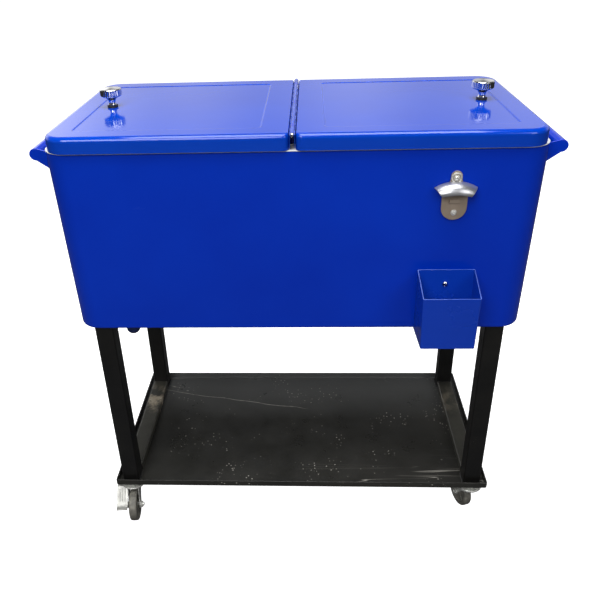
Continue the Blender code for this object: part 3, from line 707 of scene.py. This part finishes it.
# ---------------------------------------------------------------- lids, hinge and knobs
def build_lid(side, name):
    lo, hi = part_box("lid_shell_" + name)
    x0, x1 = min(abs(lo.x), abs(hi.x)), max(abs(lo.x), abs(hi.x))
    deep = hi.y - lo.y
    emboss = 0.0008
    top = hi.z
    rnd = 0.0075
    hinge_rnd = 0.0022

    def loop(inset, z, at_hinge=None, r_out=0.035, r_in=0.0105, a=x0, b=x1, d=deep):
        at_hinge = inset if at_hinge is None else at_hinge
        a, b, d = a + at_hinge, b - inset, d - 2 * inset
        r_out, r_in = max(r_out - inset, 0.001), max(r_in - inset, 0.001)
        radii = (r_out, r_in, r_in, r_out) if side > 0 else (r_in, r_out, r_out, r_in)
        return at_height(rounded_rect(b - a, d, r_out, 10, side * (a + b) / 2, MID_Y, radii), z)

    outer = [loop(0.0, lo.z), loop(0.0, top - rnd - 0.001)]
    steps = 8
    for i in range(steps + 1):
        t = math.radians(90.0 * i / steps)
        turn_in = 1 - math.cos(t)
        outer.append(loop(rnd * turn_in, top - rnd + rnd * math.sin(t), hinge_rnd * turn_in))
    outer.append(loop(rnd + 0.0015, top, hinge_rnd + 0.0015))
    panel = {"r_out": 0.007, "r_in": 0.007, "a": EMBOSS_X[0], "b": EMBOSS_X[1], "d": 2 * EMBOSS_Y}
    ramp = ((-0.0030, 0.0), (-0.0020, 0.0), (-0.0012, 0.16), (-0.0004, 0.62), (0.0002, 0.90), (0.0010, 1.0),
            (0.0022, 1.0))
    for inset, rise in ramp:
        outer.append(loop(inset, top - emboss * rise, **panel))
    inner = []
    for i in (8, 5, 3, 1, 0):
        t = math.radians(90.0 * i / steps)
        cut = SHEET + (rnd - SHEET) * (1 - math.cos(t))
        inner.append(loop(cut, top - rnd + (rnd - SHEET - emboss) * math.sin(t), max(SHEET, cut * 0.3)))
    inner.append(loop(SHEET, lo.z))
    piece("lid_skin_" + name, skin(inner + outer), MAT["lid_paint"], "lid_" + name, ["lid_shell_" + name])

    # knob: fluted disc on a flared neck
    lo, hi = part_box("knob_" + name)
    cx, cy = side * KNOB_X, (lo.y + hi.y) / 2
    r, h = 0.0178, hi.z - lo.z
    rows = [(0.0068, 0.0), (0.0069, 0.0006), (0.0064, 0.0015), (0.0060, 0.0040), (0.0062, 0.0075),
            (0.0080, 0.0105), (0.0125, 0.0128), (0.0162, 0.0142), (0.0172, 0.0150), (r - 0.0003, 0.0156),
            (r, 0.0164), (r, 0.0205), (r, 0.0246), (r - 0.0004, 0.0256), (0.0168, 0.0263), (0.0158, 0.0266),
            (0.0150, 0.0265), (0.0120, 0.0270), (0.0080, 0.0275), (0.0040, 0.0280), (0.0012, h)]

    def flute(a):
        return 0.040 * abs(math.sin(15 * a)) ** 1.6

    fluted = {10: flute, 11: flute, 12: flute}
    piece("knob_body_" + name, lathe(rows, 180, turn=place(cx, cy, lo.z), waves=fluted), MAT["chrome"],
          "lid_" + name, ["knob_" + name], smooth=50.0)


def build_hinge():
    """Painted knuckles in fine steps round a chrome-tipped rod."""
    lo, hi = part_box("hinge_rod")
    z = (lo.z + hi.z) / 2
    rows = [(0.0009, lo.y), (0.0019, lo.y + 0.0004), (0.0026, lo.y + 0.0011), (0.0029, lo.y + 0.0020),
            (0.0029, lo.y + 0.0036), (0.0020, lo.y + 0.0040), (0.0020, hi.y - 0.0040),
            (0.0029, hi.y - 0.0036), (0.0029, hi.y - 0.0020), (0.0026, hi.y - 0.0011),
            (0.0019, hi.y - 0.0004), (0.0009, hi.y)]
    piece("hinge_pin", lathe(rows, 32, turn=place(0, 0, z, TO_Y)), MAT["chrome"], "cart",
          ["hinge_rod"])
    gap = 0.00035
    for side, name in ((-1, "left"), (1, "right")):
        lo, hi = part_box("hinge_leaf_" + name)
        bm = bmesh.new()
        count = 18
        step = (hi.y - lo.y) / count
        for i in range(count):
            if i % 2 == (side > 0):
                continue
            a, b = lo.y + i * step + gap, lo.y + (i + 1) * step - gap
            posts = [p for p in POST_Y if a - 0.0072 < p < b + 0.0072]
            spans = [(a, b)]
            for p in posts:                  # a knuckle stops short of each fixed post
                cut = []
                for c, d in spans:
                    cut += [(c, min(d, p - 0.0076)), (max(c, p + 0.0076), d)]
                spans = [(c, d) for c, d in cut if d - c > 0.001]
            for c, d in spans:
                r, e = 0.0030, 0.0003
                barrel = [(0.0024, c), (r - e, c), (r, c + e), (r, d - e), (r - e, d), (0.0024, d)]
                lathe(barrel, 28, True, bm, place(0, 0, z, TO_Y))
                x0, x1 = sorted((side * 0.0024, side * 0.0042))
                tab = [(x0, z - 0.0016), (x1, z - 0.0016), (x1, z - 0.0002), (x0, z + 0.0003)]
                extrude_xz(tab, c, d, bm)
        x0, x1 = sorted((side * 0.0034, side * 0.0042))
        extrude_xz([(x0, lo.z), (x1, lo.z), (x1, z - 0.0005), (x0, z - 0.0005)], lo.y, hi.y, bm)
        piece("hinge_knuckles_" + name, bm, MAT["lid_paint"], "lid_" + name, ["hinge_leaf_" + name])


# ---------------------------------------------------------------- handles, opener and screws
def build_handles():
    for side, name in ((-1, "left"), (1, "right")):
        lo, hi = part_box("handle_tube_" + name)
        x, z, r = (lo.x + hi.x) / 2, (lo.z + hi.z) / 2, min(hi.x - lo.x, hi.z - lo.z) / 2 - 0.00002
        rows = [(r - 0.0015, lo.y), (r - 0.0004, lo.y), (r, lo.y + 0.0004), (r, lo.y + 0.004)]
        rows += [(r, hi.y - 0.004), (r, hi.y - 0.0004), (r - 0.0004, hi.y), (r - 0.0015, hi.y)]
        piece("handle_bar_" + name, lathe(rows, 48, True, turn=place(x, 0, z, TO_Y)), MAT["blue_paint"],
              "cart", ["handle_tube_" + name])
        for end in ("front", "rear"):
            node = "handle_plate_%s_%s" % (name, end)
            lo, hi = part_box(node)
            outline = [(0.3754, lo.z), (0.3754, 0.7398)]
            outline += arc(abs(x), z, 0.00938, 100.0, -90.0, 20)
            outline += [(0.3800, 0.7113), (0.3780, lo.z)]
            outline = [(side * px, pz) for px, pz in outline]
            piece("handle_bracket_%s_%s" % (name, end), extrude_xz(outline, lo.y, hi.y), MAT["blue_paint"],
                  "cart", [node], bevel=0.0005)


def screw(name, node, r_head, mat="chrome", washer=0.0):
    """Button head with a six-sided socket, on a thin washer if washer gives its radius."""
    lo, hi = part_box(node)
    cx, cz = (lo.x + hi.x) / 2, (lo.z + hi.z) / 2
    h = hi.y - lo.y
    rows = [(washer or r_head * 0.9, 0.0)]
    if washer:
        rows += [(washer, 0.0004), (washer - 0.0003, 0.0006), (r_head + 0.0002, 0.0006), (r_head, 0.0004)]
    rows += [(r_head, h * 0.30), (r_head * 0.96, h * 0.52), (r_head * 0.82, h * 0.76)]
    rows += [(r_head * 0.62, h * 0.92), (r_head * 0.46, h * 0.985), (r_head * 0.40, h)]
    rows += [(r_head * 0.38, h * 0.97), (r_head * 0.36, h * 0.5), (r_head * 0.05, h * 0.42)]
    last = len(rows) - 1
    bm = lathe(rows, 36, turn=place(cx, hi.y, cz, TO_FRONT), hex_rows=(last - 2, last - 1))
    piece(name, bm, MAT[mat], "cart", [node], smooth=40.0)


def build_opener():
    """Wall-mounted opener: a round-ended plate with an eye at its top, a curved hood and a catch."""
    lo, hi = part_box("opener")
    cx, back = (lo.x + hi.x) / 2, hi.y
    top_screw = middle("opener_screw_top").z
    thick = 0.0025
    half = 0.019
    foot = arc(0.0, lo.z + half, half, 180.0, 360.0, 26)
    head = arc(0.0, hi.z - 0.0085, 0.0084, 8.0, 172.0, 20)
    side = [(half, -0.028), (half + 0.0005, -0.018), (0.0150, -0.0100), (0.0092, -0.0062), (0.0083, -0.0010)]
    outline = foot + [(x, top_screw + z) for x, z in side] + head
    outline += [(-x, top_screw + z) for x, z in reversed(side)]
    outline = [(cx + x, z) for x, z in outline]
    front = back - thick
    piece("opener_plate", extrude_xz(outline, front, back), MAT["nickel_plate"], "cart", ["opener"],
          bevel=0.0007, segments=3)

    # raised rim round the eye
    bm = lathe([(0.0056, 0.0), (0.0060, 0.0007), (0.0067, 0.0010), (0.0075, 0.0008), (0.0080, 0.0),
                (0.0078, -0.0006), (0.0060, -0.0006)], 48, True, turn=place(cx, front, top_screw, TO_FRONT))
    piece("opener_eye_rim", bm, MAT["bright_nickel"], "cart")

    cols, rows = 40, 14
    reach = 0.0182

    def surface(u, v, deep):
        """Outer face of the hood, u across and v from its root down to its lip; deep moves inwards."""
        a = v * math.pi / 2
        wide = 0.0315 - 0.0105 * v ** 1.2
        crown = 1 - abs(u) ** 2.6
        out = (reach - deep * 0.9) * math.sin(a) ** 0.85 * (0.86 + 0.14 * crown)
        root = top_screw - 0.0145 + 0.0095 * (1 - u * u)
        lip = top_screw - 0.0245 + 0.0036 * (1 - u * u)
        drop = 1 - math.cos(a) ** 1.1
        z = root + (lip - root) * drop - deep * 0.75 * math.cos(a)
        return (cx + u * wide, front + 0.0006 - out, z)

    bm = bmesh.new()
    grids = []
    for deep in (0.0, 0.0020):
        grids.append([[bm.verts.new(surface(2 * i / cols - 1, j / rows, deep)) for i in range(cols + 1)]
                      for j in range(rows + 1)])
    outer, under = grids
    for j in range(rows):
        for i in range(cols):
            bm.faces.new((outer[j][i], outer[j][i + 1], outer[j + 1][i + 1], outer[j + 1][i]))
            bm.faces.new((under[j][i], under[j + 1][i], under[j + 1][i + 1], under[j][i + 1]))
    border = [(0, i) for i in range(cols)] + [(j, cols) for j in range(rows)]
    border += [(rows, i) for i in range(cols, 0, -1)] + [(j, 0) for j in range(rows, 0, -1)]
    for (j0, i0), (j1, i1) in zip(border, border[1:] + border[:1]):
        bm.faces.new((outer[j0][i0], under[j0][i0], under[j1][i1], outer[j1][i1]))
    piece("opener_hood", bm, MAT["nickel"], "cart", bevel=0.0004, segments=2, smooth=50.0)

    # the catch inside the mouth
    low, high = top_screw - 0.0390, top_screw - 0.0330
    tooth = [(cx - 0.0085, low), (cx + 0.0085, low), (cx + 0.0066, high), (cx - 0.0066, high)]
    piece("opener_catch", extrude_xz(tooth, front - 0.0024, front + 0.0005), MAT["nickel_plate"], "cart",
          bevel=0.0006)
    for end in ("top", "low"):
        screw("opener_bolt_" + end, "opener_screw_" + end, 0.0034, "bright_nickel", 0.0046)
    screw("cap_box_bolt", "cap_box_screw", 0.0044)


# ---------------------------------------------------------------- frame and tray
def build_frame():
    for name in CORNERS:
        lo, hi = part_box("leg_" + name)
        cx, cy, w = (lo.x + hi.x) / 2, (lo.y + hi.y) / 2, hi.x - lo.x
        outer = rounded_rect(w, w, 0.0032, 6, cx, cy)
        inner = rounded_rect(w - 0.003, w - 0.003, 0.0017, 6, cx, cy)
        loops = [at_height(outer, lo.z), at_height(outer, hi.z)]
        loops += [at_height(inner, hi.z), at_height(inner, lo.z)]
        piece("leg_tube_" + name, skin(loops, cyclic=True), MAT["black_paint"], "cart", ["leg_" + name])
        # weld run round the foot, laid on in overlapping beads
        rng = random.Random(len(name) * 7 + int(cx > 0))
        around = rounded_rect(w, w, 0.0032, 9, cx, cy)
        bm = bmesh.new()
        rings = []
        dense = []
        for (ax, ay), (bx, by) in zip(around, around[1:] + around[:1]):
            cuts = max(1, round(math.hypot(bx - ax, by - ay) / 0.0012))
            dense += [(ax + (bx - ax) * i / cuts, ay + (by - ay) * i / cuts) for i in range(cuts)]
        travel = 0.0
        for i, (px, py) in enumerate(dense):
            qx, qy = dense[(i + 1) % len(dense)]
            travel += math.hypot(qx - px, qy - py)
            size = 0.0016 + 0.0004 * math.sin(travel * 2 * math.pi / 0.0034) + rng.uniform(-0.0001, 0.0001)
            away = Vector((px - cx, py - cy, 0.0)).normalized()
            base = Vector((px, py, lo.z - 0.0002))
            up = Vector((0.0, 0.0, size))
            rings.append([base - away * 0.0003, base + away * size, base + away * size * 0.75 + up * 0.6,
                          base + away * size * 0.3 + up, base - away * 0.0003 + up])
        skin(rings, cyclic=True, bm=bm)
        piece("weld_" + name, bm, MAT["black_paint"], "cart", smooth=70.0)

    for side in ("left", "right"):
        node = "low_rail_" + side
        lo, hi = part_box(node)
        cx, cz = (lo.x + hi.x) / 2, (lo.z + hi.z) / 2
        outer = rounded_rect(hi.x - lo.x, hi.z - lo.z, 0.0028, 6, cx, cz)
        inner = rounded_rect(hi.x - lo.x - 0.003, hi.z - lo.z - 0.003, 0.0014, 6, cx, cz)
        loops = []
        for points, y in ((outer, lo.y), (outer, hi.y), (inner, hi.y), (inner, lo.y)):
            loops.append([(x, y, z) for x, z in points])
        piece("rail_tube_" + side, skin(loops, cyclic=True), MAT["rail_" + side], "cart", [node])

    lo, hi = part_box("tray")
    w, d, sheet = hi.x - lo.x, hi.y - lo.y, 0.0015
    top = lo.z + sheet
    path = [(0.0060, lo.z), (0.0022, lo.z), (0.0006, lo.z + 0.0006), (0.0, lo.z + 0.0020)]
    path += [(0.0, lo.z + 0.0035), (0.0, hi.z - 0.0011), (0.0003, hi.z - 0.0003), (0.0009, hi.z)]
    path += [(0.0018, hi.z), (0.0024, hi.z - 0.0003), (0.0027, hi.z - 0.0011), (0.0027, top + 0.0022)]
    path += [(0.0034, top + 0.0006), (0.0050, top), (0.0090, top)]
    loops = [at_height(rounded_rect(w - 2 * cut, d - 2 * cut, max(0.004 - cut, 0.0012), 6, 0, MID_Y), z)
             for cut, z in path]
    piece("tray_skin", skin(loops), MAT["tray_paint"], "cart", ["tray"])


def build_drain():
    lo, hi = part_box("drain_cap")
    cx, cy = (lo.x + hi.x) / 2, (lo.y + hi.y) / 2
    r = (hi.x - lo.x) / 2
    rows = [(0.0010, lo.z), (0.0045, lo.z + 0.0002), (0.0085, lo.z + 0.0020), (0.0108, lo.z + 0.0050),
            (r, lo.z + 0.0070), (r, lo.z + 0.0160), (r, hi.z - 0.0016), (r - 0.0004, hi.z), (0.0091, hi.z),
            (0.0090, hi.z - 0.0098), (0.0050, hi.z - 0.0126), (0.0010, hi.z - 0.0128)]

    def grip(a):
        return 0.055 * (0.5 + 0.5 * math.cos(14 * a)) ** 2

    bm = lathe(rows, 84, turn=place(cx, cy, 0), waves={4: grip, 5: grip, 6: grip})
    piece("drain_cap_body", bm, MAT["drain_plastic"], "drain_cap", ["drain_cap"])


# ---------------------------------------------------------------- casters
def build_caster(name, heading, brake):
    """Swivel caster; its own +X is the way it trails, +Y its axle."""
    lo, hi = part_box("caster_mount_" + name)
    cx, cy = (lo.x + hi.x) / 2, (lo.y + hi.y) / 2
    local = place(cx, cy, 0, Matrix.Rotation(math.radians(heading - 90.0), 4, "Z"))
    plate = rounded_rect(hi.x - lo.x, hi.y - lo.y, 0.005, 6, cx, cy)
    top = hi.z
    bm = skin([at_height(plate, top - 0.0020), at_height(plate, top - 0.0004),
               at_height(rounded_rect(hi.x - lo.x - 0.0008, hi.y - lo.y - 0.0008, 0.0046, 6, cx, cy), top)])
    dome = [(0.0050, top - 0.0012), (0.0140, top - 0.0012), (0.0149, 0.0800), (0.0150, 0.0790),
            (0.0147, 0.0779), (0.0139, 0.0770), (0.0140, 0.0764), (0.0147, 0.0758), (0.0148, 0.0750),
            (0.0141, 0.0741), (0.0125, 0.0735), (0.0041, 0.0735), (0.0041, 0.0693), (0.0074, 0.0693),
            (0.0078, 0.0690), (0.0078, 0.0680), (0.0070, 0.0670), (0.0050, lo.z)]
    lathe(dome, 48, bm=bm, turn=place(cx, cy, 0))
    rivet = [(0.0030, top - 0.0018), (0.0030, top - 0.0026), (0.0026, top - 0.0033), (0.0010, top - 0.0036)]
    for sx in (-1, 1):
        for sy in (-1, 1):
            lathe(rivet, 16, bm=bm, turn=place(cx + sx * 0.0165, cy + sy * 0.0165, 0))
    piece("mount_" + name, bm, MAT["zinc"], "cart", ["caster_mount_" + name])

    crown = [(0.0044, 0.0697), (0.0200, 0.0697), (0.0228, 0.0694), (0.0236, 0.0699), (0.0240, 0.0708),
             (0.0240, 0.0722), (0.0235, 0.0730), (0.0225, 0.0732), (0.0180, 0.0728), (0.0150, 0.0731),
             (0.0044, 0.0731)]
    bm = lathe(crown, 56, True, turn=local)
    boss = 0.0080
    side = [(-0.0180, 0.0710), (0.0190, 0.0710)]
    side += round_profile([(0.0205, 0.0690), (0.0245, 0.0520), (TRAIL + boss - 0.0004, 0.0360)], 0.004, 5)
    side += arc(TRAIL, WHEEL_R, boss, 15.0, -165.0, 20)
    rear_edge = [(TRAIL - boss - 0.0010, 0.0350), (0.0020, 0.0520), (-0.0120, 0.0600), (-0.0178, 0.0685)]
    side += round_profile(rear_edge, 0.006, 6)
    for y0, y1 in ((0.0095, 0.0113), (-0.0113, -0.0095)):
        extrude_xz(side, y0, y1, bm, local)
    piece("fork_" + name, bm, MAT["zinc"], "swivel_" + name, ["caster_fork_" + name], bevel=0.0004)

    at_axle = local @ place(TRAIL, 0, WHEEL_R, TO_Y)
    half = WHEEL_W / 2
    r = WHEEL_R - TYRE_INSET
    tread = [(r - 0.0028, -half), (r - 0.0016, -half + 0.0004), (r - 0.0006, -half + 0.0014),
             (r - 0.0001, -half + 0.0030), (r, -half + 0.0050)]
    tread += [(out, -y) for out, y in reversed(tread)]
    tread += [(WHEEL_R - 0.0066, half), (WHEEL_R - 0.0070, half - 0.0006), (WHEEL_R - 0.0070, -half + 0.0006),
              (WHEEL_R - 0.0066, -half)]
    piece("tyre_" + name, lathe(tread, 72, True, turn=at_axle), MAT["tyre"], "wheel_" + name,
          ["caster_wheel_" + name])
    web = [(0.0043, -0.0086), (0.0072, -0.0086), (0.0080, -0.0080), (0.0086, -0.0054), (0.0100, -0.0046),
           (0.0190, -0.0044), (0.0208, -0.0052), (0.0216, -0.0066), (0.0230, -0.0070), (0.0241, -0.0066)]
    web += [(r, -y) for r, y in reversed(web)]
    bm = lathe(web, 60, True, turn=at_axle)
    for k in range(5):                       # shallow ribs from hub to rim, on both faces
        spin = at_axle @ Matrix.Rotation(2 * math.pi * k / 5, 4, "Z")
        for sign in (-1, 1):
            z0, z1 = sorted((sign * 0.0040, sign * 0.0058))
            rib = [(0.0082, -0.0011), (0.0222, -0.0014), (0.0222, 0.0014), (0.0082, 0.0011)]
            skin([at_height(rib, z0), at_height(rib, z1)], bm=bm, turn=spin)
    piece("hub_" + name, bm, MAT["hub"], "wheel_" + name, bevel=0.0003)

    bolt = [(0.0055, -0.0158), (0.0064, -0.0154), (0.0066, -0.0148), (0.0066, -0.0124), (0.0074, -0.0123),
            (0.0074, -0.0116), (0.0036, -0.0116), (0.0036, 0.0116), (0.0074, 0.0116), (0.0074, 0.0123),
            (0.0064, 0.0124), (0.0064, 0.0150), (0.0058, 0.0155), (0.0037, 0.0155), (0.0036, 0.0176),
            (0.0031, 0.0180)]
    piece("axle_" + name, lathe(bolt, 24, turn=at_axle, hex_rows=(0, 1, 2, 3, 10, 11, 12)), MAT["zinc"],
          "swivel_" + name, ["caster_axle_" + name], bevel=0.0002)

    if brake:
        hinge = local @ place(PEDAL_X, 0, PEDAL_Z)
        arm = [(-0.0030, 0.0002), (-0.0024, 0.0014), (-0.0012, 0.0021), (0.0004, 0.0022), (0.0016, 0.0017)]
        arm += round_profile([(0.0030, 0.0006), (0.0290, -0.0253), (0.0385, -0.0262)], 0.004, 6)
        arm += [(0.0385, -0.0278)]
        arm += round_profile([(0.0375, -0.0278), (0.0284, -0.0270), (0.0002, 0.0008)], 0.004, 6)
        arm += [(0.0000, -0.0005), (-0.0015, -0.0014)]
        bm = extrude_xz(arm, -0.0330, -0.0119, turn=hinge)
        for y in (-0.0275, -0.0225, -0.0175):       # three pressed ribs for the shoe
            rib = [(0.0060, -0.0018), (0.0235, -0.0193), (0.0240, -0.0187), (0.0066, -0.0013)]
            extrude_xz(rib, y - 0.0009, y + 0.0009, bm, hinge)
        piece("pedal_" + name, bm, MAT["pedal_zinc"], "pedal_" + name, ["brake_pedal_" + name],
              bevel=0.0004)


def build_all():
    build_tub()
    build_box()
    for side, name in ((-1, "left"), (1, "right")):
        build_lid(side, name)
    build_hinge()
    build_handles()
    build_opener()
    build_frame()
    build_drain()
    for name, (heading, brake) in CASTERS.items():
        build_caster(name, heading, brake)


build_all()
